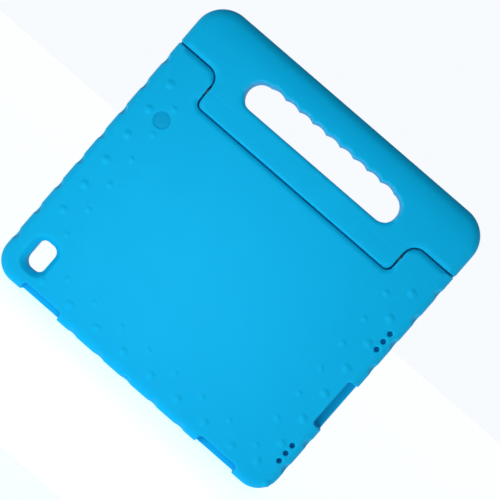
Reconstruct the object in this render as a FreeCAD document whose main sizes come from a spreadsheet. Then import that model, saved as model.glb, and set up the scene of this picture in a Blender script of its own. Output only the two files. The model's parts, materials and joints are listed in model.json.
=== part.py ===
"""Foam tablet case with a pivoting carry handle that folds back into a stand.

Frame: +Z up towards the handle, X along the hinge, -Y is the screen side and +Y the back.
The origin is the middle of the bottom edge.  All sizes are in millimetres.
"""
import FreeCAD, Part
import Sketcher
import os
from FreeCAD import Placement, Rotation, Vector

doc = FreeCAD.newDocument("tablet_case")

DRIVING_SIZES = {
    # overall
    "case_width": 270.0,
    "case_depth": 26.0,
    "overall_height": 264.4,
    "foot_corner": 19.5,
    "handle_corner": 24.0,
    "back_rounding": 8.0,
    "front_rounding": 4.5,
    # hinge seam, a surface of revolution about the hinge axis
    "hinge_height": 204.75,
    "hinge_setback": 6.0,
    "barrel_radius": 14.3,
    "seam_gap": 1.4,
    "seam_half_span": 94.5,
    "ear_corner": 9.5,
    "tongue_corner": 4.5,
    "ledge_angle": 4.0,
    # tablet pocket and screen window
    "pocket_width": 248.0,
    "pocket_height": 163.0,
    "pocket_depth": 8.0,
    "pocket_floor_height": 9.5,
    "pocket_corner": 8.0,
    "lip_thickness": 6.0,
    "lip_overhang": 5.5,
    # camera hole
    "camera_x": 108.6,
    "camera_z": 29.3,
    "camera_width": 16.5,
    "camera_height": 24.0,
    "camera_corner": 6.0,
    "camera_flare": 4.2,
    "camera_flare_depth": 4.5,
    # openings in the side walls
    "port_slot_low": 69.0,
    "port_slot_high": 111.0,
    "slot_depth": 8.8,
    "key_slot_inner": 69.0,
    "key_slot_outer": 105.5,
    "slot_corner": 2.5,
    "slot_floor_step": 2.0,
    "slot_window_margin": 4.0,
    # speaker holes
    "speaker_x": 126.0,
    "speaker_low": 39.2,
    "speaker_high": 149.4,
    "speaker_pitch": 7.5,
    "speaker_diameter": 4.2,
    "chamber_width": 4.0,
    "chamber_length": 24.0,
    # round mould mark
    "mark_x": 106.0,
    "mark_z": 166.0,
    "mark_diameter": 14.0,
    "mark_ring": 1.6,
    "mark_recess": 0.3,
    "mark_ring_depth": 0.7,
    # raised domes and edge scoops
    "dome_height": 1.0,
    "dome_diameter": 7.0,
    "small_dome_height": 0.7,
    "small_dome_diameter": 5.0,
    "dome_inset": 16.5,
    "small_dome_inset": 31.0,
    "side_pitch": 24.6,
    "side_first": 42.5,
    "bottom_pitch": 26.7,
    "bottom_middle": 1.6,
    "corner_dome_inset": 6.5,
    "corner_dome_height": 13.0,
    "scoop_reach": 4.2,
    "scoop_back": 0.5,
    "scoop_across": 8.5,
    "scoop_deep": 12.0,
    "scoop_along": 6.0,
    # grip opening in the handle
    "grip_length": 147.0,
    "grip_low": 214.0,
    "grip_high": 238.5,
    "grip_corner": 12.0,
    "finger_pitch": 13.56,
    "finger_depth": 2.0,
    "finger_radius": 12.5,
    # hinge hardware, lengths measured along X from the middle of the case
    "pin_diameter": 5.0,
    "pin_inner_end": 66.0,
    "pin_outer_end": 115.4,
    "running_fit": 0.03,
    "groove_diameter": 4.0,
    "ring_thickness": 0.7,
    "ring_seat": 113.0,
    "ring_diameter": 8.0,
    "washer_diameter": 9.0,
    "washer_gap": 0.05,
    "spring_thickness": 0.4,
    "spring_diameter": 8.0,
    "bush_diameter": 9.6,
    "bush_bore_end": 111.5,
    "bush_outer_end": 118.5,
    "chamber_diameter": 8.8,
    "cap_thickness": 1.5,
    "wing_thickness": 2.4,
    "wing_drop": 20.0,
    "wing_inner": 99.0,
    "wing_outer": 115.0,
    # stiff frame inside the handle
    "core_half_length": 93.0,
    "core_thickness": 6.0,
    "core_rail": 9.0,
    "core_top": 256.0,
    "core_boss_diameter": 10.4,
    "core_boss_length": 30.0,
    # construction allowances
    "cut_overlap": 1.0,
    "press_overlap": 0.1,
    "key_slot_step": 1.0,
    "slot_window_step": 1.0,
    "bottom_dome_lift": 1.5,
    "corner_dome_sink": 0.4,
    "corner_dome_shift": 3.5,
    "corner_dome_row": 3.3,
    "corner_dome_rise": 1.6,
    "ring_mouth_share": 0.42,
}

# sizes worked out in the sheet from the driving ones
DERIVED_SIZES = {
    "half_width": "=case_width / 2",
    "back_face": "=(case_depth - dome_height) / 2",
    "front_face": "=-(case_depth + dome_height) / 2",
    "hinge_y": "=back_face - hinge_setback",
    "barrel_clear": "=barrel_radius + seam_gap",
    "ear_face": "=seam_half_span + seam_gap / 2",
    "tongue_face": "=seam_half_span - seam_gap / 2",
    "lip_back": "=front_face + lip_thickness",
    "pocket_back": "=lip_back + pocket_depth",
    "pocket_top": "=pocket_floor_height + pocket_height",
    "cut_margin": "=case_depth",
}


def make_sheet():
    """Spreadsheet that drives every size, one alias for each row."""
    sheet = doc.addObject("Spreadsheet::Sheet", "sizes")
    rows = list(DRIVING_SIZES.items()) + list(DERIVED_SIZES.items())
    for row, (name, content) in enumerate(rows, start=1):
        sheet.set(f"A{row}", name)
        sheet.set(f"B{row}", str(content))
        sheet.setAlias(f"B{row}", name)
    doc.recompute()
    return sheet


sheet = make_sheet()


def size(name):
    return float(getattr(sheet, name))


def origin_feature(body, role):
    for feature in body.Origin.OriginFeatures:
        if feature.Role == role:
            return feature
    raise ValueError(f"{body.Name} has no {role}")


def new_body(label):
    body = doc.addObject("PartDesign::Body", label)
    body.Label = label
    return body


def new_sketch(body, name, plane, offset="0"):
    """Empty sketch on one of the body's origin planes, shifted along the plane's normal."""
    sketch = body.newObject("Sketcher::SketchObject", name)
    sketch.AttachmentSupport = (origin_feature(body, plane), [""])
    sketch.MapMode = "FlatFace"
    sketch.setExpression(".AttachmentOffset.Base.z", offset)
    doc.recompute()
    return sketch


def number(owner, expression):
    result = owner.evalExpression(expression)
    return float(getattr(result, "Value", result))


def bind(sketch, constraint, expression):
    index = sketch.addConstraint(constraint)
    sketch.setExpression(f"Constraints[{index}]", expression)


def stepped_outline(sketch, levels, radii=None):
    """Closed outline of level and upright sides in turn, starting with a level one.

    levels holds the height of each level side and the x of each upright side.  radii gives
    the corner radius after a side, by the side's number in the list.
    """
    radii = radii or {}
    count = len(levels)
    values = [number(sketch, level) for level in levels]
    corners = []
    for side in range(count):
        here, after = values[side], values[(side + 1) % count]
        corners.append(Vector(after, here, 0) if side % 2 == 0 else Vector(here, after, 0))
    directions = [(corners[i] - corners[i - 1]).normalize() for i in range(count)]
    trims = [number(sketch, radii[i]) if i in radii else 0.0 for i in range(count)]
    first = sketch.GeometryCount
    for side in range(count):
        start = corners[side - 1] + directions[side] * trims[side - 1]
        end = corners[side] - directions[side] * trims[side]
        line = sketch.addGeometry(Part.LineSegment(start, end), False)
        if side % 2 == 0:
            sketch.addConstraint(Sketcher.Constraint("Horizontal", line))
            bind(sketch, Sketcher.Constraint("DistanceY", -1, 1, line, 1, values[side]), levels[side])
        else:
            sketch.addConstraint(Sketcher.Constraint("Vertical", line))
            bind(sketch, Sketcher.Constraint("DistanceX", -1, 1, line, 1, values[side]), levels[side])
    for side in range(count):
        line, following = first + side, first + (side + 1) % count
        if side not in radii:
            sketch.addConstraint(Sketcher.Constraint("Coincident", line, 2, following, 1))
            continue
        add_corner_arc(sketch, corners[side], directions[side],
                       directions[(side + 1) % count], radii[side], line, following)


def add_corner_arc(sketch, corner, into, out, radius_expression, line, following):
    """Arc tangent to both sides of a corner."""
    radius = number(sketch, radius_expression)
    centre = corner - into * radius + out * radius
    middle = centre + (into - out) * (radius / 2 ** 0.5)
    arc = sketch.addGeometry(
        Part.Arc(corner - into * radius, middle, corner + out * radius), False)
    turns_left = into.cross(out).z > 0
    near, far = (1, 2) if turns_left else (2, 1)
    sketch.addConstraint(Sketcher.Constraint("Tangent", line, 2, arc, near))
    sketch.addConstraint(Sketcher.Constraint("Tangent", arc, far, following, 1))
    bind(sketch, Sketcher.Constraint("Radius", arc, radius), radius_expression)


def add_circle(sketch, x, y, diameter):
    centre = Vector(number(sketch, x), number(sketch, y), 0)
    radius = number(sketch, diameter) / 2
    circle = sketch.addGeometry(Part.Circle(centre, Vector(0, 0, 1), radius), False)
    bind(sketch, Sketcher.Constraint("DistanceX", -1, 1, circle, 3, centre.x), x)
    bind(sketch, Sketcher.Constraint("DistanceY", -1, 1, circle, 3, centre.y), y)
    bind(sketch, Sketcher.Constraint("Diameter", circle, 2 * radius), diameter)


def pad(body, sketch, length, name):
    feature = body.newObject("PartDesign::Pad", name)
    feature.Profile = sketch
    feature.setExpression("Length", length)
    doc.recompute()
    return feature


def check_cut(feature, before):
    """A cut that misses the solid shows no error, so its volume is compared."""
    if feature.Shape.Volume >= before - 1.0:
        raise RuntimeError(f"{feature.Name} cuts nothing")


def pocket(body, sketch, length, name):
    """Cut from the sketch plane towards the plane's normal."""
    before = body.Shape.Volume
    feature = body.newObject("PartDesign::Pocket", name)
    feature.Profile = sketch
    feature.Reversed = True
    feature.setExpression("Length", length)
    doc.recompute()
    check_cut(feature, before)
    return feature


def turn(body, kind, sketch, axis, name, angle="360"):
    """Revolution or groove about an axis, spread evenly to both sides of the sketch."""
    before = body.Shape.Volume if body.Tip else 0.0
    feature = body.newObject(f"PartDesign::{kind}", name)
    feature.Profile = sketch
    feature.ReferenceAxis = axis
    feature.Midplane = True
    feature.setExpression("Angle", angle)
    doc.recompute()
    if kind == "Groove":
        check_cut(feature, before)
    return feature


def fillet(body, names, radius, name):
    base = body.Tip
    feature = body.newObject("PartDesign::Fillet", name)
    feature.Base = (base, names)
    feature.setExpression("Radius", radius)
    doc.recompute()
    return feature


def edges_where(shape, test):
    return [f"Edge{i}" for i, edge in enumerate(shape.Edges, start=1) if test(edge.BoundBox)]


def pattern(body, feature, axis, length, count, name):
    """Repeat a feature along one of the body's origin axes."""
    repeat = body.newObject("PartDesign::LinearPattern", name)
    repeat.Originals = [feature]
    repeat.Direction = (origin_feature(body, axis), [""])
    repeat.setExpression("Length", length)
    repeat.Occurrences = count
    body.Tip = repeat
    doc.recompute()
    return repeat


# ---------------------------------------------------------------- shared by shell and handle

def round_slab_edges(body, open_side_z):
    """Soft edges round the back and the front, except along the side that meets the hinge."""
    for face, radius, name in (("back_face", "sizes.back_rounding", "soft_back_edge"),
                               ("front_face", "sizes.front_rounding", "soft_front_edge")):
        level = size(face)
        names = edges_where(
            body.Shape,
            lambda box: abs(box.YMin - level) < 0.01 and abs(box.YMax - level) < 0.01
            and not (abs(box.ZMin - open_side_z) < 0.01 and abs(box.ZMax - open_side_z) < 0.01))
        fillet(body, names, radius, name)


def hinge_sketch(body, name):
    """Sketch in the upright plane through the hinge axis, with that axis as its first line."""
    sketch = new_sketch(body, name, "XZ_Plane", "-sizes.hinge_y")
    height = size("hinge_height")
    axis = sketch.addGeometry(
        Part.LineSegment(Vector(-size("half_width"), height, 0), Vector(size("half_width"), height, 0)),
        True)
    sketch.addConstraint(Sketcher.Constraint("Symmetric", axis, 1, axis, 2, -2))
    bind(sketch, Sketcher.Constraint("DistanceX", -1, 1, axis, 2, size("half_width")), "sizes.half_width")
    bind(sketch, Sketcher.Constraint("DistanceY", -1, 1, axis, 1, height), "sizes.hinge_height")
    return sketch


# ---------------------------------------------------------------- case shell

def make_case_shell():
    body = new_body("case_foam")
    make_shell_slab(body)
    shape_ears(body)
    cut_tablet_pocket(body)
    cut_camera_hole(body)
    cut_wall_slots(body)
    cut_speaker_holes(body)
    cut_mould_mark(body)
    add_domes(body)
    cut_edge_scoops(body)
    return body


def make_shell_slab(body):
    """Rounded slab from the bottom edge to the top of the ears."""
    outline = new_sketch(body, "slab_outline", "XZ_Plane", "-sizes.back_face")
    top = "sizes.hinge_height + sizes.barrel_clear"
    stepped_outline(outline, ["0", "sizes.half_width", top, "-sizes.half_width"],
                    {0: "sizes.foot_corner", 3: "sizes.foot_corner"})
    pad(body, outline, "sizes.case_depth", "slab")
    round_slab_edges(body, size("hinge_height") + size("barrel_clear"))


def shape_ears(body):
    """Leave two round-topped ears above the hinge line and a trough between them."""
    above = hinge_sketch(body, "above_hinge")
    top = "sizes.hinge_height + sizes.overall_height"
    ear_top = "sizes.hinge_height + sizes.barrel_radius"
    outside = "sizes.half_width + sizes.cut_margin"
    stepped_outline(
        above,
        [ear_top, "-sizes.ear_face", "sizes.hinge_height", "sizes.ear_face",
         ear_top, outside, top, "-(" + outside + ")"],
        {0: "sizes.ear_corner", 3: "sizes.ear_corner"})
    turn(body, "Groove", above, (above, ["Axis0"]), "ears", "180")
    trough = hinge_sketch(body, "trough_profile")
    corner = "sizes.tongue_corner + sizes.seam_gap"
    stepped_outline(
        trough,
        ["sizes.hinge_height - sizes.barrel_clear", "sizes.ear_face",
         "sizes.hinge_height", "-sizes.ear_face"],
        {0: corner, 3: corner})
    turn(body, "Groove", trough, (trough, ["Axis0"]), "trough")


def cut_tablet_pocket(body):
    """Pocket for the tablet, behind a soft lip that frames the screen."""
    half = "sizes.pocket_width / 2"
    pocket_outline = new_sketch(body, "pocket_outline", "XZ_Plane", "-sizes.pocket_back")
    stepped_outline(
        pocket_outline,
        ["sizes.pocket_floor_height", half, "sizes.pocket_top", f"-{half}"],
        {side: "sizes.pocket_corner" for side in range(4)})
    pocket(body, pocket_outline, "sizes.pocket_depth", "tablet_pocket")
    half = "(sizes.pocket_width / 2 - sizes.lip_overhang)"
    window_outline = new_sketch(body, "window_outline", "XZ_Plane", "-sizes.lip_back - sizes.cut_overlap")
    stepped_outline(
        window_outline,
        ["sizes.pocket_floor_height + sizes.lip_overhang", half,
         "sizes.pocket_top - sizes.lip_overhang", f"-{half}"],
        {side: "sizes.pocket_corner" for side in range(4)})
    pocket(body, window_outline, "sizes.lip_thickness + 2 * sizes.cut_overlap", "screen_window")
    level = size("front_face")
    limit = size("pocket_width") / 2
    names = edges_where(
        body.Shape,
        lambda box: abs(box.YMin - level) < 0.01 and abs(box.YMax - level) < 0.01
        and max(abs(box.XMin), abs(box.XMax)) < limit and box.ZMax < size("pocket_top")
        and box.ZMin > size("pocket_floor_height"))
    fillet(body, names, "sizes.lip_thickness / 2", "soft_lip")


def rectangle(body, name, centre_x, centre_z, width, height, corner, offset):
    """Sketch of a rounded rectangle in a plane parallel to the back."""
    sketch = new_sketch(body, name, "XZ_Plane", offset)
    stepped_outline(
        sketch,
        [f"{centre_z} - ({height}) / 2", f"{centre_x} + ({width}) / 2",
         f"{centre_z} + ({height}) / 2", f"{centre_x} - ({width}) / 2"],
        {side: corner for side in range(4)})
    return sketch


def cut_camera_hole(body):
    """Rounded hole through the back, flared towards the outside."""
    place = ("sizes.camera_x", "sizes.camera_z")
    hole = rectangle(body, "camera_outline", *place, "sizes.camera_width", "sizes.camera_height",
                     "sizes.camera_corner", "-sizes.back_face - sizes.cut_overlap")
    pocket(body, hole, "sizes.case_depth", "camera_hole")
    inner = rectangle(body, "flare_inner", *place, "sizes.camera_width", "sizes.camera_height",
                      "sizes.camera_corner", "sizes.camera_flare_depth - sizes.back_face")
    outer = rectangle(
        body, "flare_outer", *place,
        "sizes.camera_width + 2 * sizes.camera_flare", "sizes.camera_height + 2 * sizes.camera_flare",
        "sizes.camera_corner + sizes.camera_flare", "-sizes.back_face")
    before = body.Shape.Volume
    flare = body.newObject("PartDesign::SubtractiveLoft", "camera_flare")
    flare.Profile = outer
    flare.Sections = [inner]
    doc.recompute()
    check_cut(flare, before)


def cut_wall_slots(body):
    """Port slot in the side wall and two key slots in the bottom wall, open to the back."""
    depth = "sizes.back_face - sizes.lip_back - sizes.slot_floor_step"
    inner = "-(sizes.half_width - sizes.slot_depth)"
    outer = "-(sizes.half_width + sizes.cut_margin)"
    sketch = new_sketch(body, "port_slot_outline", "XZ_Plane", "-sizes.back_face")
    stepped_outline(sketch, ["sizes.port_slot_low", inner, "sizes.port_slot_high", outer],
                    {0: "sizes.slot_corner", 1: "sizes.slot_corner"})
    pocket(body, sketch, depth, "port_slot")
    for side, sign in (("left", "-"), ("right", "")):
        near = f"{sign}sizes.key_slot_inner"
        far = f"{sign}sizes.key_slot_outer"
        low_x, high_x = (far, near) if sign else (near, far)
        sketch = new_sketch(body, f"key_slot_{side}_outline", "XZ_Plane", "-sizes.back_face")
        stepped_outline(
            sketch,
            ["-sizes.cut_margin", high_x, "sizes.slot_depth - sizes.key_slot_step", low_x],
            {1: "sizes.slot_corner", 2: "sizes.slot_corner"})
        pocket(body, sketch, depth, f"key_slot_{side}")
        cut_slot_window(
            body, f"key_window_{side}",
            ["sizes.slot_depth - sizes.key_slot_step - sizes.cut_overlap",
             f"{high_x} - sizes.slot_window_margin",
             "sizes.pocket_floor_height + sizes.cut_overlap", f"{low_x} + sizes.slot_window_margin"])
    cut_slot_window(
        body, "port_window",
        ["sizes.port_slot_low + sizes.slot_window_margin", "-(sizes.pocket_width / 2 - sizes.cut_overlap)",
         "sizes.port_slot_high - sizes.slot_window_margin",
         "-(sizes.half_width - sizes.slot_depth + sizes.cut_overlap)"])


def cut_slot_window(body, name, levels):
    """Opening between a wall slot and the tablet pocket, inside the tablet's thickness."""
    sketch = new_sketch(body, f"{name}_outline", "XZ_Plane", "-sizes.pocket_back + sizes.slot_window_step")
    stepped_outline(sketch, levels)
    pocket(body, sketch, "sizes.pocket_depth - sizes.slot_window_step - sizes.slot_floor_step", name)


def cut_speaker_holes(body):
    """Two rows of three holes in the back, each over a sound chamber beside the tablet."""
    for name, centre in (("low", "sizes.speaker_low"), ("high", "sizes.speaker_high")):
        holes = new_sketch(body, f"speaker_{name}_holes", "XZ_Plane", "-sizes.back_face - sizes.cut_overlap")
        for step in (-1, 0, 1):
            add_circle(holes, "-sizes.speaker_x", f"{centre} + {step} * sizes.speaker_pitch",
                       "sizes.speaker_diameter")
        pocket(body, holes, "sizes.back_face - sizes.pocket_back + 2 * sizes.cut_overlap",
               f"speakers_{name}")
        chamber = new_sketch(body, f"chamber_{name}_outline", "XZ_Plane", "-sizes.pocket_back")
        stepped_outline(
            chamber,
            [f"{centre} - sizes.chamber_length / 2", "-(sizes.pocket_width / 2 - sizes.cut_overlap)",
             f"{centre} + sizes.chamber_length / 2",
             "-(sizes.pocket_width / 2 + sizes.chamber_width)"])
        pocket(body, chamber, "sizes.pocket_depth", f"chamber_{name}")


def cut_mould_mark(body):
    """Shallow round mark left by the mould insert, with a deeper ring round it."""
    for name, depth, inner in (
            ("disc", "sizes.mark_recess", None),
            ("ring", "sizes.mark_ring_depth", "sizes.mark_diameter - 2 * sizes.mark_ring")):
        sketch = new_sketch(body, f"mark_{name}_outline", "XZ_Plane", "-sizes.back_face")
        add_circle(sketch, "sizes.mark_x", "sizes.mark_z", "sizes.mark_diameter")
        if inner:
            add_circle(sketch, "sizes.mark_x", "sizes.mark_z", inner)
        pocket(body, sketch, depth, f"mark_{name}")


def ball(body, kind, name, centre, radii):
    """Ellipsoid feature at a point of the body, with radii along X, Y and Z."""
    feature = body.newObject(f"PartDesign::{kind}Ellipsoid", name)
    feature.AttachmentSupport = (origin_feature(body, "XY_Plane"), [""])
    feature.MapMode = "FlatFace"
    for axis, place in zip("xyz", centre):
        feature.setExpression(f".AttachmentOffset.Base.{axis}", place)
    for number_of_axis, radius in zip(("2", "3", "1"), radii):
        feature.setExpression(f"Radius{number_of_axis}", radius)
    doc.recompute()
    return feature


def cap_ball(diameter, height):
    """Radius and centre depth of the ball whose cap stands out of the back by the dome's height."""
    radius = f"(({diameter} / 2) ^ 2 + {height} ^ 2) / (2 * {height})"
    return radius, f"sizes.back_face + {height} - {radius}"


def add_domes(body):
    """Two rows of raised domes beside the side and bottom edges, staggered by half a pitch.

    Each run is a name, its first x and z, the axis and pitch of its steps, and its count.
    """
    large_x = "(sizes.half_width - sizes.dome_inset)"
    small_x = "(sizes.half_width - sizes.small_dome_inset)"
    half_step = "sizes.side_first + sizes.side_pitch / 2"
    along_side = ("Z_Axis", "sizes.side_pitch")
    along_bottom = ("X_Axis", "sizes.bottom_pitch")
    large_runs = (
        ("left", f"-{large_x}", "sizes.side_first", *along_side, 7),
        ("right", large_x, "sizes.side_first + sizes.side_pitch", *along_side, 6),
        ("bottom", "sizes.bottom_middle - 3.5 * sizes.bottom_pitch", "sizes.dome_inset", *along_bottom, 8),
    )
    small_runs = (
        ("left", f"-{small_x}", half_step, *along_side, 6),
        ("right", small_x, half_step, *along_side, 6),
        ("bottom", "sizes.bottom_middle - 4 * sizes.bottom_pitch",
         "sizes.small_dome_inset - sizes.bottom_dome_lift", *along_bottom, 8),
    )
    for row, diameter, height, runs in (
            ("large", "sizes.dome_diameter", "sizes.dome_height", large_runs),
            ("small", "sizes.small_dome_diameter", "sizes.small_dome_height", small_runs)):
        radius, depth = cap_ball(diameter, height)
        for run, first_x, first_z, axis, pitch, count in runs:
            dome = ball(body, "Additive", f"{row}_dome_{run}", (first_x, depth, first_z), [radius] * 3)
            pattern(body, dome, axis, f"{count - 1} * {pitch}", count, f"{row}_domes_{run}")
    add_corner_domes(body)


def add_corner_domes(body):
    """One small dome on the rounding of each bottom corner, and one more inside the left corner."""
    radius, depth = cap_ball("sizes.small_dome_diameter", "sizes.small_dome_height")
    for name, x in (("left", "-(sizes.half_width - sizes.corner_dome_inset)"),
                    ("right", "sizes.half_width - sizes.corner_dome_inset - sizes.corner_dome_shift")):
        ball(body, "Additive", f"corner_dome_{name}",
             (x, f"{depth} - sizes.corner_dome_sink", "sizes.corner_dome_height"), [radius] * 3)
    radius, depth = cap_ball("sizes.dome_diameter", "sizes.dome_height")
    ball(body, "Additive", "corner_dome_inner",
         ("-(sizes.half_width - sizes.corner_dome_row * sizes.corner_dome_inset)", depth,
          "sizes.corner_dome_rise * sizes.corner_dome_height"),
         [radius] * 3)


def cut_edge_scoops(body):
    """Thumb-sized scoops over the soft back edge of the side walls and the bottom wall."""
    deep = "sizes.back_face - sizes.scoop_back"
    runs = (
        ("right", "sizes.side_first - sizes.side_pitch / 2", 8),
        ("left_low", "sizes.side_first - sizes.side_pitch / 2", 2),
        ("left_high", "sizes.side_first + 3.5 * sizes.side_pitch", 4),
    )
    for name, first_z, count in runs:
        sign = "" if name == "right" else "-"
        scoop = ball(body, "Subtractive", f"scoop_{name}",
                     (f"{sign}(sizes.half_width + sizes.scoop_reach)", deep, first_z),
                     ("sizes.scoop_across", "sizes.scoop_deep", "sizes.scoop_along"))
        pattern(body, scoop, "Z_Axis", f"{count - 1} * sizes.side_pitch", count, f"scoops_{name}")
    scoop = ball(body, "Subtractive", "scoop_bottom",
                 ("-2 * sizes.bottom_pitch", deep, "-sizes.scoop_reach"),
                 ("sizes.scoop_along", "sizes.scoop_deep", "sizes.scoop_across"))
    pattern(body, scoop, "X_Axis", "4 * sizes.bottom_pitch", 5, "scoops_bottom")


# ---------------------------------------------------------------- handle

def make_handle():
    body = new_body("handle_foam")
    make_handle_slab(body)
    shape_tongue(body)
    cut_grip_opening(body)
    return body


def make_handle_slab(body):
    """Rounded slab from the tip of the tongue to the top edge."""
    outline = new_sketch(body, "slab_outline", "XZ_Plane", "-sizes.back_face")
    low = "sizes.hinge_height - sizes.barrel_clear"
    stepped_outline(outline, [low, "sizes.half_width", "sizes.overall_height", "-sizes.half_width"],
                    {1: "sizes.handle_corner", 2: "sizes.handle_corner"})
    pad(body, outline, "sizes.case_depth", "slab")
    round_slab_edges(body, size("hinge_height") - size("barrel_clear"))


def shape_tongue(body):
    """Round tongue about the hinge axis, and shoulders that clear the ears."""
    below = hinge_sketch(body, "below_hinge")
    tongue_tip = "sizes.hinge_height - sizes.barrel_radius"
    far_below = "sizes.hinge_height - sizes.overall_height"
    outside = "(sizes.half_width + sizes.cut_margin)"
    stepped_outline(
        below,
        ["sizes.hinge_height", "-sizes.tongue_face", tongue_tip, "sizes.tongue_face",
         "sizes.hinge_height", outside, far_below, f"-{outside}"],
        {1: "sizes.tongue_corner", 2: "sizes.tongue_corner"})
    turn(body, "Groove", below, (below, ["Axis0"]), "tongue", "180 + sizes.ledge_angle")
    corner = "sizes.ear_corner + sizes.seam_gap"
    top = "sizes.hinge_height + sizes.barrel_clear"
    for side, sign in (("left", "-"), ("right", "")):
        shoulder = hinge_sketch(body, f"shoulder_{side}_profile")
        far, near = f"{sign}{outside}", f"{sign}sizes.tongue_face"
        low_x, high_x = (far, near) if sign else (near, far)
        corner_side = 1 if sign else 2
        stepped_outline(shoulder, ["sizes.hinge_height", high_x, top, low_x], {corner_side: corner})
        turn(body, "Groove", shoulder, (shoulder, ["Axis0"]), f"shoulder_{side}")


def cut_grip_opening(body):
    """Long opening for the hand, with finger grooves along its upper edge."""
    half = "sizes.grip_length / 2"
    outline = new_sketch(body, "grip_outline", "XZ_Plane", "-sizes.back_face - sizes.cut_overlap")
    stepped_outline(outline, ["sizes.grip_low", half, "sizes.grip_high", f"-{half}"],
                    {side: "sizes.grip_corner" for side in range(4)})
    pocket(body, outline, "sizes.case_depth + 2 * sizes.cut_overlap", "grip_opening")
    groove = new_sketch(body, "finger_outline", "XZ_Plane", "-sizes.back_face - sizes.cut_overlap")
    add_circle(groove, "-4 * sizes.finger_pitch",
               "sizes.grip_high + sizes.finger_depth - sizes.finger_radius", "2 * sizes.finger_radius")
    first = pocket(body, groove, "sizes.case_depth + 2 * sizes.cut_overlap", "finger_groove")
    pattern(body, first, "X_Axis", "8 * sizes.finger_pitch", 9, "finger_grooves")


# ---------------------------------------------------------------- hinge hardware
# Each piece is drawn about its own X axis, which lies on the hinge axis once it is placed.

SIDES = (("right", 0), ("left", 180))


def place_on_hinge(piece, turn_degrees):
    piece.Placement = Placement(Vector(0, size("hinge_y"), size("hinge_height")),
                                Rotation(Vector(0, 0, 1), turn_degrees))


def turned_body(label, levels, turn_degrees):
    """Body turned about its X axis from a stepped half section."""
    body = new_body(label)
    section = new_sketch(body, f"{label}_section", "XZ_Plane")
    stepped_outline(section, levels)
    turn(body, "Revolution", section, (origin_feature(body, "X_Axis"), [""]), f"{label}_turned")
    place_on_hinge(body, turn_degrees)
    return body


def make_hinge_pin(side, turn_degrees):
    """Steel pin with a ring groove near its outer end."""
    radius = "sizes.pin_diameter / 2"
    groove = "sizes.groove_diameter / 2"
    groove_end = "sizes.ring_seat + sizes.ring_thickness + sizes.washer_gap"
    return turned_body(
        f"hinge_pin_{side}",
        ["0", "sizes.pin_outer_end", radius, groove_end, groove, "sizes.ring_seat", radius,
         "sizes.pin_inner_end"],
        turn_degrees)


def make_friction_washer(side, turn_degrees):
    bore = "sizes.pin_diameter / 2 + sizes.running_fit"
    return turned_body(
        f"friction_washer_{side}",
        [bore, "sizes.ear_face - sizes.washer_gap", "sizes.washer_diameter / 2", "sizes.tongue_face"],
        turn_degrees)


def make_ear_bush(side, turn_degrees):
    """Plastic bush held in the ear: running bore, spring chamber and an anchor wing."""
    bore = "sizes.pin_diameter / 2 + sizes.running_fit"
    body = turned_body(
        f"ear_bush_{side}",
        [bore, "sizes.bush_bore_end", "sizes.chamber_diameter / 2", "sizes.bush_outer_end",
         "sizes.bush_diameter / 2", "sizes.ear_face"],
        turn_degrees)
    wing = new_sketch(body, f"wing_{side}_outline", "XZ_Plane", "-sizes.wing_thickness / 2")
    stepped_outline(
        wing,
        ["-sizes.wing_drop", "sizes.wing_outer",
         "-sizes.chamber_diameter / 2 - sizes.press_overlap", "sizes.wing_inner"])
    pad(body, wing, "sizes.wing_thickness", f"wing_{side}")
    return body


def make_bush_cap(side, turn_degrees):
    """Cap that closes the spring chamber so that the foam can be moulded round it."""
    return turned_body(
        f"bush_cap_{side}",
        ["0", "sizes.bush_outer_end", "sizes.chamber_diameter / 2",
         "sizes.bush_outer_end - sizes.cap_thickness"],
        turn_degrees)


def make_spring_washer(side, turn_degrees):
    """Coned spring washer between the bush and the retaining ring."""
    washer = doc.addObject("Part::Feature", f"spring_washer_{side}")
    washer.Label = f"spring_washer_{side}"
    inner = size("pin_diameter") / 2 + size("running_fit")
    outer = size("spring_diameter") / 2
    thick = size("spring_thickness")
    start = size("bush_bore_end")
    end = size("ring_seat") - size("washer_gap")
    corners = [Vector(start, 0, outer), Vector(start + thick, 0, outer),
               Vector(end, 0, inner), Vector(end - thick, 0, inner)]
    section = Part.Face(Part.makePolygon(corners + corners[:1]))
    washer.Shape = section.revolve(Vector(0, 0, 0), Vector(1, 0, 0), 360)
    place_on_hinge(washer, turn_degrees)
    return washer


def make_retaining_ring(side, turn_degrees):
    """Open ring snapped into the pin's groove."""
    body = turned_body(
        f"retaining_ring_{side}",
        ["sizes.groove_diameter / 2 + sizes.running_fit", "sizes.ring_seat + sizes.ring_thickness",
         "sizes.ring_diameter / 2", "sizes.ring_seat"],
        turn_degrees)
    opening = new_sketch(body, f"ring_{side}_opening", "XY_Plane", "-sizes.ring_diameter")
    mouth = "sizes.groove_diameter * sizes.ring_mouth_share"
    stepped_outline(opening, [f"-{mouth}", "sizes.ring_seat + 2 * sizes.ring_thickness",
                              mouth, "sizes.ring_seat - sizes.ring_thickness"])
    pocket(body, opening, "sizes.ring_diameter", f"ring_{side}_mouth")
    return body


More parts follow.
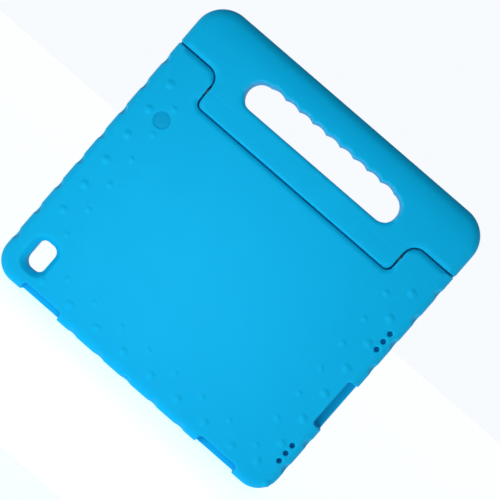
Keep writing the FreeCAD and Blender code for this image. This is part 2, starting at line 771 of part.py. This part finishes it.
def make_handle_core():
    """Stiff frame round the grip opening, with a boss at each end for the hinge pin."""
    body = new_body("handle_core")
    half = "sizes.core_half_length"
    low = "-sizes.core_rail / 2"
    top = "sizes.core_top - sizes.hinge_height"
    outer = new_sketch(body, "core_outline", "XZ_Plane", "-sizes.core_thickness / 2")
    stepped_outline(outer, [low, half, top, f"-{half}"], {1: "sizes.core_rail", 2: "sizes.core_rail"})
    pad(body, outer, "sizes.core_thickness", "core_plate")
    inner = new_sketch(body, "core_opening", "XZ_Plane", "-sizes.core_thickness / 2 - sizes.cut_overlap")
    inside = f"({half} - sizes.core_rail)"
    stepped_outline(inner, ["sizes.core_rail / 2", inside, f"{top} - sizes.core_rail", f"-{inside}"])
    pocket(body, inner, "sizes.core_thickness + 2 * sizes.cut_overlap", "core_window")
    for side, sign in (("left", "-"), ("right", "")):
        boss = new_sketch(body, f"boss_{side}_section", "XZ_Plane")
        far = f"{sign}sizes.tongue_face"
        near = f"{sign}(sizes.tongue_face - sizes.core_boss_length)"
        low_x, high_x = (far, near) if sign else (near, far)
        stepped_outline(boss, ["0", high_x, "sizes.core_boss_diameter / 2", low_x])
        turn(body, "Revolution", boss, (origin_feature(body, "X_Axis"), [""]), f"boss_{side}")
    for side, sign in (("left", "-"), ("right", "")):
        bore = new_sketch(body, f"bore_{side}_section", "XZ_Plane")
        far = f"{sign}(sizes.tongue_face + sizes.cut_overlap)"
        near = f"{sign}(sizes.pin_inner_end - sizes.cut_overlap)"
        low_x, high_x = (far, near) if sign else (near, far)
        stepped_outline(bore, ["0", high_x, "sizes.pin_diameter / 2 + sizes.running_fit / 2", low_x])
        turn(body, "Groove", bore, (origin_feature(body, "X_Axis"), [""]), f"bore_{side}")
    place_on_hinge(body, 0)
    return body


def mould_around(label, foam, inserts):
    """Foam piece with room for the inserts that it is moulded round."""
    room = doc.addObject("Part::MultiFuse", f"{label}_room")
    room.Shapes = inserts
    piece = doc.addObject("Part::Cut", label)
    piece.Label = label
    piece.Base = foam
    piece.Tool = room
    doc.recompute()
    return piece


def insert_envelope(name, inner_end, outer_end, diameter, turn_degrees):
    """Plain round room along the hinge axis."""
    room = doc.addObject("Part::Cylinder", name)
    room.setExpression("Radius", f"{diameter} / 2")
    room.setExpression("Height", f"{outer_end} - {inner_end}")
    room.Placement = Placement(
        Vector(0, size("hinge_y"), size("hinge_height")), Rotation(Vector(0, 0, 1), turn_degrees)
    ).multiply(Placement(Vector(number(sheet, inner_end.replace("sizes.", "")), 0, 0),
                         Rotation(Vector(0, 1, 0), 90)))
    return room


def write_parts(pieces):
    """Check every object, then write each piece to its own STEP file."""
    doc.recompute()
    for item in doc.Objects:
        if "Invalid" in item.State or "Error" in item.State:
            raise RuntimeError(f"{item.Name} failed: {item.State}")
    os.makedirs("parts", exist_ok=True)
    for piece in pieces:
        shape = piece.Shape
        if shape.isNull() or not shape.isValid() or len(shape.Solids) != 1:
            raise RuntimeError(f"{piece.Label} is not one valid solid")
        shape.exportStep(f"parts/{piece.Label}.step")


def main():
    case_foam = make_case_shell()
    handle_foam = make_handle()
    core = make_handle_core()
    pieces = [core]
    ear_rooms = []
    for side, turn_degrees in SIDES:
        bush = make_ear_bush(side, turn_degrees)
        pieces += [
            make_hinge_pin(side, turn_degrees),
            make_friction_washer(side, turn_degrees),
            bush,
            make_bush_cap(side, turn_degrees),
            make_spring_washer(side, turn_degrees),
            make_retaining_ring(side, turn_degrees),
        ]
        ear_rooms.append(bush)
        ear_rooms.append(insert_envelope(f"ear_room_{side}", "sizes.ear_face", "sizes.bush_outer_end",
                                         "(sizes.bush_diameter - sizes.press_overlap)", turn_degrees))
    doc.recompute()
    pieces.append(mould_around("case_shell", case_foam, ear_rooms))
    core_rooms = [core] + [
        insert_envelope(f"core_room_{side}", "(sizes.pin_inner_end - sizes.cut_overlap)",
                        "sizes.tongue_face",
                        "(sizes.core_boss_diameter - sizes.press_overlap)", turn_degrees)
        for side, turn_degrees in SIDES]
    pieces.append(mould_around("handle", handle_foam, core_rooms))
    write_parts(pieces)


main()
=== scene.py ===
"""The foam tablet case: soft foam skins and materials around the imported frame."""
import json

import bmesh
import bpy
import numpy as np
from mathutils import Matrix, Vector
from mathutils.kdtree import KDTree


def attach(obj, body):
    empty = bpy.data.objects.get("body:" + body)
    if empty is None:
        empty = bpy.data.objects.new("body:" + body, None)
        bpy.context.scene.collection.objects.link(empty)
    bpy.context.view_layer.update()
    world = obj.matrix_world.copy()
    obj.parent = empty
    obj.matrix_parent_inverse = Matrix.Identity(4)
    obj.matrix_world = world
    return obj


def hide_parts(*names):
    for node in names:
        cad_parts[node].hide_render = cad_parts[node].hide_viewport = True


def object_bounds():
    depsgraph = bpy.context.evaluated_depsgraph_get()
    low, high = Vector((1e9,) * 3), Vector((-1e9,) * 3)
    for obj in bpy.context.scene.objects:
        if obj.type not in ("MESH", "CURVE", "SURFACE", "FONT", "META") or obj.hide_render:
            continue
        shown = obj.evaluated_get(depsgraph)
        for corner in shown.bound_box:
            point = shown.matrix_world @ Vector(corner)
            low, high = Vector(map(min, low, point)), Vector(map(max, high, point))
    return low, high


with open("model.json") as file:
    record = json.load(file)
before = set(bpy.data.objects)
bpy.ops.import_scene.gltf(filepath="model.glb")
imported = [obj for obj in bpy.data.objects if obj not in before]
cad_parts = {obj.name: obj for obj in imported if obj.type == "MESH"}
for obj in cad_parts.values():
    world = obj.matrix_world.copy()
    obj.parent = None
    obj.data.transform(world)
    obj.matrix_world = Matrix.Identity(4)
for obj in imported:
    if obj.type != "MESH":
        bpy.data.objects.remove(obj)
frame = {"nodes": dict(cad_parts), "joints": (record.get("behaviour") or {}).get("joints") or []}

CAD_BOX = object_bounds()
MM = 0.001

# foam skins
VOXEL = 0.8 * MM
SMOOTH_PASSES = 1
KEPT_SHARE = 0.25
RUBBED_REACH = 4 * MM
DOME_HEIGHT = 1.0 * MM
BACK_LEVEL = CAD_BOX[1][1] - DOME_HEIGHT
HINGE_LEVEL = frame["joints"][0]["pos_m"][2]
RIM_HALF_HEIGHT = 16.5 * MM
RIM_REACH = 4.0 * MM
RIM_DROP = 1.5 * MM
RIM_FADE = 4.0 * MM
RIM_EDGE_DEPTH = 0.8 * MM
RIM_TURN = 0.75
RIM_SIDE_CLEAR = 9.0 * MM
# the foam is thin over the hinge bosses, so the rim is rolled less there
HINGE_COVER = 5.0 * MM
HINGE_SHARE = 0.2
CROWN_HEIGHT = 34.0 * MM
CROWN_DROP = 4.8 * MM

# foam colours, and the mould mark's place and radius in millimetres
FOAM_BLUE = (0.0004, 0.418, 0.735)
FOAM_DEEP = (0.0003, 0.388, 0.700)
FOAM_RUBBED = (0.003, 0.455, 0.765)
FOAM_MARK = (0.0004, 0.300, 0.560)
MARK_X = 106.0
MARK_Z = 166.0
MARK_RADIUS = 7.0
MARK_BACK_Y = 9.0

# camera, floor and key light
PHOTO_EYE = Vector((-0.0256, 0.8876, 0.1648))
PHOTO_FORWARD = Vector((0.0214, -0.9992, -0.0330))
PHOTO_UP = Vector((0.6555, -0.0109, 0.7551))
SENSOR_WIDTH = 36.0
FOCAL_TO_WIDTH = 2.36
FLOOR_HALF_SIZE = 8.0
FLOOR_GAP = 0.2 * MM
KEY_PLACE = (0.03, 0.33, 0.06)
KEY_TARGET = (0.03, 0.0, 0.02)
KEY_WIDTH = 0.1
KEY_WATTS = 0.40


# ---------------------------------------------------------------- node helpers

def new_material(name):
    material = bpy.data.materials.new(name)
    material.use_nodes = True
    tree = material.node_tree
    shader = tree.nodes["Principled BSDF"]
    return material, tree, shader


def add_node(tree, kind, inputs=None, **settings):
    """New shader node with its settings, and its inputs set to values or linked to sockets."""
    node = tree.nodes.new(kind)
    for name, value in settings.items():
        setattr(node, name, value)
    for name, value in (inputs or {}).items():
        if isinstance(value, bpy.types.NodeSocket):
            tree.links.new(value, node.inputs[name])
        else:
            node.inputs[name].default_value = value
    return node


def ramp(tree, factor, stops):
    """Colour ramp between stops, each a position and a colour."""
    node = add_node(tree, "ShaderNodeValToRGB", {"Fac": factor})
    elements = node.color_ramp.elements
    while len(elements) < len(stops):
        elements.new(0.5)
    for element, (position, colour) in zip(elements, stops):
        element.position = position
        element.color = (*colour, 1.0)
    return node.outputs["Color"]


def spread(tree, factor, low, high):
    """A 0 to 1 value spread between two numbers."""
    node = add_node(tree, "ShaderNodeMapRange", {"Value": factor, "To Min": low, "To Max": high})
    return node.outputs["Result"]


def place_in_mm(tree):
    """The object's own coordinates, in millimetres."""
    where = add_node(tree, "ShaderNodeTexCoord").outputs["Object"]
    scaled = add_node(tree, "ShaderNodeVectorMath", {0: where, 1: (1 / MM,) * 3}, operation="MULTIPLY")
    return scaled.outputs["Vector"]


def noise(tree, where, period_mm, detail=3.0, roughness=0.55, distortion=0.0):
    node = add_node(
        tree, "ShaderNodeTexNoise",
        {"Vector": where, "Scale": 1 / period_mm, "Detail": detail,
         "Roughness": roughness, "Distortion": distortion})
    return node.outputs["Fac"]


def bump(tree, height, depth_mm, below=None):
    inputs = {"Height": height, "Strength": 1.0, "Distance": depth_mm * MM}
    if below:
        inputs["Normal"] = below
    return add_node(tree, "ShaderNodeBump", inputs).outputs["Normal"]


def mix_colour(tree, factor, first, second, blend="MIX"):
    node = add_node(tree, "ShaderNodeMix", data_type="RGBA", blend_type=blend)
    for name, value in (("Factor_Float", factor), ("A_Color", first), ("B_Color", second)):
        socket = next(s for s in node.inputs if s.identifier == name)
        if isinstance(value, bpy.types.NodeSocket):
            tree.links.new(value, socket)
        else:
            socket.default_value = value if name == "Factor_Float" else (*value, 1.0)
    return next(s for s in node.outputs if s.identifier == "Result_Color")


# ---------------------------------------------------------------- materials

def mark_patch(tree, where):
    """Mask of the round mould mark on the back of the case, a disc where the colour is made darker."""
    flat = add_node(
        tree, "ShaderNodeVectorMath", {0: where, 1: (1.0, 0.0, 1.0)},
        operation="MULTIPLY").outputs["Vector"]
    away = add_node(
        tree, "ShaderNodeVectorMath", {0: flat, 1: (MARK_X, 0.0, MARK_Z)},
        operation="DISTANCE").outputs["Value"]
    inside = add_node(
        tree, "ShaderNodeMapRange",
        {"Value": away, "From Min": MARK_RADIUS + 0.3, "From Max": MARK_RADIUS - 0.3,
         "To Min": 0.0, "To Max": 0.8}).outputs["Result"]
    depth = add_node(tree, "ShaderNodeSeparateXYZ", {"Vector": where}).outputs["Y"]
    on_back = add_node(
        tree, "ShaderNodeMath", {0: depth, 1: MARK_BACK_Y}, operation="GREATER_THAN").outputs[0]
    return add_node(tree, "ShaderNodeMath", {0: inside, 1: on_back}, operation="MULTIPLY").outputs[0]


def foam_material():
    """Closed-cell EVA foam: a satin skin with fine pebbles, faint mould flow and rubbed edges."""
    material, tree, shader = new_material("eva_foam")
    where = place_in_mm(tree)
    flow = noise(tree, where, 42.0, detail=2.0, distortion=0.6)
    mottle = noise(tree, where, 5.0, detail=4.0)
    cloudy = mix_colour(tree, flow, FOAM_DEEP, FOAM_BLUE)
    speck = spread(tree, mottle, 0.0, 0.22)
    skin = mix_colour(tree, speck, cloudy, FOAM_RUBBED)
    rubbed = add_node(tree, "ShaderNodeAttribute", attribute_name="rubbed").outputs["Fac"]
    patchy = add_node(tree, "ShaderNodeMath", {0: rubbed, 1: mottle}, operation="MULTIPLY").outputs[0]
    edged = mix_colour(tree, patchy, skin, FOAM_RUBBED)
    colour = mix_colour(tree, mark_patch(tree, where), edged, FOAM_MARK)
    tree.links.new(colour, shader.inputs["Base Color"])
    tree.links.new(spread(tree, mottle, 0.5, 0.62), shader.inputs["Roughness"])
    cells = add_node(tree, "ShaderNodeTexVoronoi", {"Vector": where, "Scale": 1.6}).outputs["Distance"]
    pebbles = bump(tree, cells, 0.018)
    grain = bump(tree, noise(tree, where, 0.45, detail=2.0), 0.02, pebbles)
    waves = bump(tree, noise(tree, where, 22.0, detail=1.0), 0.10, grain)
    tree.links.new(waves, shader.inputs["Normal"])
    shader.inputs["Specular IOR Level"].default_value = 0.06
    return material


def plastic_material(name, colour, worn, rough_low, rough_high):
    """Moulded plastic with a fine spark texture, flow marks and slight rubbing."""
    material, tree, shader = new_material(name)
    where = place_in_mm(tree)
    flow = noise(tree, where, 9.0, distortion=1.2)
    tree.links.new(mix_colour(tree, flow, colour, worn), shader.inputs["Base Color"])
    fine = noise(tree, where, 0.35, detail=4.0)
    tree.links.new(spread(tree, fine, rough_low, rough_high), shader.inputs["Roughness"])
    tree.links.new(bump(tree, fine, 0.012, bump(tree, flow, 0.05)), shader.inputs["Normal"])
    return material


def steel_material(name, colour, tinted, rough_low, rough_high):
    """Turned steel: fine rings round the hinge axis, and stains."""
    material, tree, shader = new_material(name)
    where = place_in_mm(tree)
    rings = add_node(
        tree, "ShaderNodeTexWave", {"Vector": where, "Scale": 1.4, "Distortion": 0.8, "Detail": 3.0},
        wave_type="BANDS", bands_direction="X").outputs["Fac"]
    stain = noise(tree, where, 3.0, detail=5.0)
    tree.links.new(mix_colour(tree, stain, colour, tinted), shader.inputs["Base Color"])
    tree.links.new(spread(tree, stain, rough_low, rough_high), shader.inputs["Roughness"])
    tree.links.new(bump(tree, rings, 0.006, bump(tree, stain, 0.01)), shader.inputs["Normal"])
    shader.inputs["Metallic"].default_value = 1.0
    return material


def give(node, material):
    """Put a material on a carried-over CAD node."""
    data = frame["nodes"][node].data
    if not data.materials:
        data.materials.append(material)
    for index in range(len(data.materials)):
        data.materials[index] = material


# ---------------------------------------------------------------- foam skins

def welded_copy(node, name):
    """Copy of a CAD node's mesh with its seams welded."""
    mesh = frame["nodes"][node].data.copy()
    piece = bpy.data.objects.new(name, mesh)
    bpy.context.scene.collection.objects.link(piece)
    work = bmesh.new()
    work.from_mesh(mesh)
    bmesh.ops.remove_doubles(work, verts=work.verts, dist=0.002 * MM)
    work.to_mesh(mesh)
    work.free()
    return piece


def apply_modifiers(piece):
    depsgraph = bpy.context.evaluated_depsgraph_get()
    baked = bpy.data.meshes.new_from_object(piece.evaluated_get(depsgraph))
    piece.modifiers.clear()
    piece.data = baked


def soften(piece, voxel, passes):
    """Even out a mesh and round its creases, as moulded foam has no sharp edges."""
    remesh = piece.modifiers.new("even_mesh", "REMESH")
    remesh.mode = "VOXEL"
    remesh.voxel_size = voxel
    smooth = piece.modifiers.new("round_creases", "SMOOTH")
    smooth.factor = 0.5
    smooth.iterations = passes
    apply_modifiers(piece)


def thin_out(piece, share):
    """Keep a share of the faces, mostly those of the rounded stretches."""
    decimate = piece.modifiers.new("thin_flats", "DECIMATE")
    decimate.decimate_type = "COLLAPSE"
    decimate.ratio = share
    apply_modifiers(piece)


def positions(mesh):
    flat = np.empty(3 * len(mesh.vertices))
    mesh.vertices.foreach_get("co", flat)
    return flat.reshape(-1, 3)


def store_positions(mesh, points):
    mesh.vertices.foreach_set("co", points.ravel())
    mesh.update()


def vertex_normals(mesh):
    flat = np.empty(3 * len(mesh.vertices))
    mesh.vertices.foreach_get("normal", flat)
    return flat.reshape(-1, 3)


def mark_rubbed_edges(mesh, reach):
    """Vertex attribute that is high where the surface is convex, so that edges look rubbed."""
    points = positions(mesh)
    edges = np.empty(2 * len(mesh.edges), dtype=np.int32)
    mesh.edges.foreach_get("vertices", edges)
    edges = edges.reshape(-1, 2)
    normals = vertex_normals(mesh)
    step = points[edges[:, 1]] - points[edges[:, 0]]
    bend = ((normals[edges[:, 1]] - normals[edges[:, 0]]) * step).sum(axis=1)
    bend /= np.maximum((step ** 2).sum(axis=1), 1e-12)
    total = np.zeros(len(points))
    count = np.zeros(len(points))
    for end in (0, 1):
        np.add.at(total, edges[:, end], bend)
        np.add.at(count, edges[:, end], 1)
    value = np.clip(total / np.maximum(count, 1) * reach, 0, 1)
    layer = mesh.attributes.new("rubbed", "FLOAT", "POINT")
    layer.data.foreach_set("value", value.astype(np.float32))


def roll_seam_rim(mesh):
    """Roll the back face gently down into the hinge seam, where the moulded edges are soft."""
    points = positions(mesh)
    normals = vertex_normals(mesh)
    low = HINGE_LEVEL - RIM_HALF_HEIGHT
    high = HINGE_LEVEL + RIM_HALF_HEIGHT
    level = (points[:, 2] > low) & (points[:, 2] < high)
    inboard = np.abs(points[:, 0]) < CAD_BOX[1][0] - RIM_SIDE_CLEAR
    near_back = points[:, 1] > BACK_LEVEL - RIM_EDGE_DEPTH
    rim = points[level & inboard & near_back & (normals[:, 1] < RIM_TURN)]
    tree = KDTree(len(rim))
    for index, (x, _, z) in enumerate(rim):
        tree.insert((x, 0.0, z), index)
    tree.balance()
    reachable = (
        (points[:, 1] > BACK_LEVEL - RIM_FADE) & (points[:, 2] > low - RIM_REACH)
        & (points[:, 2] < high + RIM_REACH))
    for index in np.flatnonzero(reachable):
        x, y, z = points[index]
        distance = tree.find((x, 0.0, z))[2]
        if distance < RIM_REACH:
            depth = (y - BACK_LEVEL + RIM_FADE) / RIM_FADE
            clear = min(max((abs(z - HINGE_LEVEL) - HINGE_COVER) / HINGE_COVER, HINGE_SHARE), 1.0)
            points[index, 1] -= RIM_DROP * (1 - distance / RIM_REACH) ** 2 * depth * clear
    store_positions(mesh, points)


def crown_top(mesh):
    """Round the back of the handle over towards its top edge."""
    points = positions(mesh)
    middle = (CAD_BOX[0][1] + CAD_BOX[1][1]) / 2
    rise = np.clip((points[:, 2] - CAD_BOX[1][2] + CROWN_HEIGHT) / CROWN_HEIGHT, 0, 1)
    share = np.clip((points[:, 1] - middle) / (BACK_LEVEL - middle), 0, 1)
    points[:, 1] -= CROWN_DROP * rise ** 3 * share
    store_positions(mesh, points)


def foam_skin(node, name, body, foam):
    """Softened foam piece that stands in for a CAD node and rides on its body."""
    piece = welded_copy(node, name)
    soften(piece, VOXEL, SMOOTH_PASSES)
    roll_seam_rim(piece.data)
    if node == "handle":
        crown_top(piece.data)
    mark_rubbed_edges(piece.data, RUBBED_REACH)
    thin_out(piece, KEPT_SHARE)
    piece.data.shade_smooth()
    piece.data.materials.clear()
    piece.data.materials.append(foam)
    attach(piece, body)
    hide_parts(node)


# ---------------------------------------------------------------- camera, floor and lights

def add_camera():
    camera = bpy.data.objects.new("photo_camera", bpy.data.cameras.new("photo_camera"))
    bpy.context.scene.collection.objects.link(camera)
    back = -PHOTO_FORWARD.normalized()
    right = PHOTO_UP.cross(back).normalized()
    up = back.cross(right)
    turn = Matrix((right, up, back)).transposed().to_4x4()
    camera.matrix_world = Matrix.Translation(PHOTO_EYE) @ turn
    camera.data.sensor_width = SENSOR_WIDTH
    camera.data.lens = FOCAL_TO_WIDTH * SENSOR_WIDTH
    camera.data.clip_start = 0.01
    bpy.context.scene.camera = camera


def add_floor():
    """Plain pale floor just below the case, faintly lit from inside so that it stays pale."""
    half = FLOOR_HALF_SIZE
    mesh = bpy.data.meshes.new("floor")
    corners = [(-half, -half), (half, -half), (half, half), (-half, half)]
    mesh.from_pydata([(x, y, -FLOOR_GAP) for x, y in corners], [], [(0, 1, 2, 3)])
    floor = bpy.data.objects.new("floor", mesh)
    bpy.context.scene.collection.objects.link(floor)
    material, tree, shader = new_material("pale_floor")
    where = place_in_mm(tree)
    tone = mix_colour(tree, noise(tree, where, 300.0), (0.86, 0.88, 0.90), (0.90, 0.915, 0.93))
    tree.links.new(tone, shader.inputs["Base Color"])
    shader.inputs["Roughness"].default_value = 0.9
    shader.inputs["Emission Color"].default_value = (0.90, 0.93, 0.96, 1.0)
    shader.inputs["Emission Strength"].default_value = 0.77
    mesh.materials.append(material)


def add_area_light(name, place, target, width, watts, colour=(1.0, 1.0, 1.0)):
    data = bpy.data.lights.new(name, "AREA")
    data.shape = "DISK"
    data.size = width
    data.energy = watts
    data.color = colour
    light = bpy.data.objects.new(name, data)
    bpy.context.scene.collection.objects.link(light)
    light.location = place
    light.rotation_euler = (Vector(target) - Vector(place)).to_track_quat("-Z", "Y").to_euler()


def add_world():
    """Pale surroundings, brightest at the horizon and dimmer overhead."""
    world = bpy.data.worlds.new("studio")
    bpy.context.scene.world = world
    world.use_nodes = True
    tree = world.node_tree
    background = tree.nodes["Background"]
    where = add_node(tree, "ShaderNodeTexCoord").outputs["Generated"]
    height = add_node(tree, "ShaderNodeSeparateXYZ", {"Vector": where}).outputs["Z"]
    overhead = ramp(
        tree, height,
        [(0.0, (0.93, 0.96, 0.99)), (0.30, (0.93, 0.96, 0.99)), (0.75, (0.16, 0.19, 0.23))])
    outward = add_node(tree, "ShaderNodeSeparateXYZ", {"Vector": where}).outputs["Y"]
    room = ramp(tree, outward, [(0.0, (1.0, 1.0, 1.0)), (0.35, (0.46, 0.46, 0.46))])
    tone = mix_colour(tree, 1.0, overhead, room, blend="MULTIPLY")
    tree.links.new(tone, background.inputs["Color"])
    background.inputs["Strength"].default_value = 1.0


def add_lights():
    add_world()
    add_area_light("key", KEY_PLACE, KEY_TARGET, KEY_WIDTH, KEY_WATTS)
    bpy.context.scene.view_settings.view_transform = "Standard"


# ---------------------------------------------------------------- the whole scene

def dress_hardware():
    core = plastic_material("core_nylon", (0.012, 0.012, 0.014), (0.03, 0.03, 0.032), 0.38, 0.6)
    bush = plastic_material("bush_acetal", (0.02, 0.025, 0.03), (0.045, 0.05, 0.055), 0.3, 0.45)
    washer = plastic_material("washer_plastic", (0.001, 0.02, 0.05), (0.002, 0.03, 0.07), 0.5, 0.65)
    pin = steel_material("pin_steel", (0.05, 0.055, 0.065), (0.09, 0.09, 0.1), 0.3, 0.46)
    spring = steel_material("spring_steel", (0.12, 0.13, 0.16), (0.24, 0.22, 0.2), 0.28, 0.46)
    give("handle_core", core)
    for side in ("left", "right"):
        give(f"ear_bush_{side}", bush)
        give(f"bush_cap_{side}", bush)
        give(f"friction_washer_{side}", washer)
        give(f"hinge_pin_{side}", pin)
        give(f"spring_washer_{side}", spring)
        give(f"retaining_ring_{side}", spring)


foam = foam_material()
foam_skin("case_shell", "shell_skin", "case", foam)
foam_skin("handle", "handle_skin", "carry_handle", foam)
dress_hardware()
add_camera()
add_floor()
add_lights()
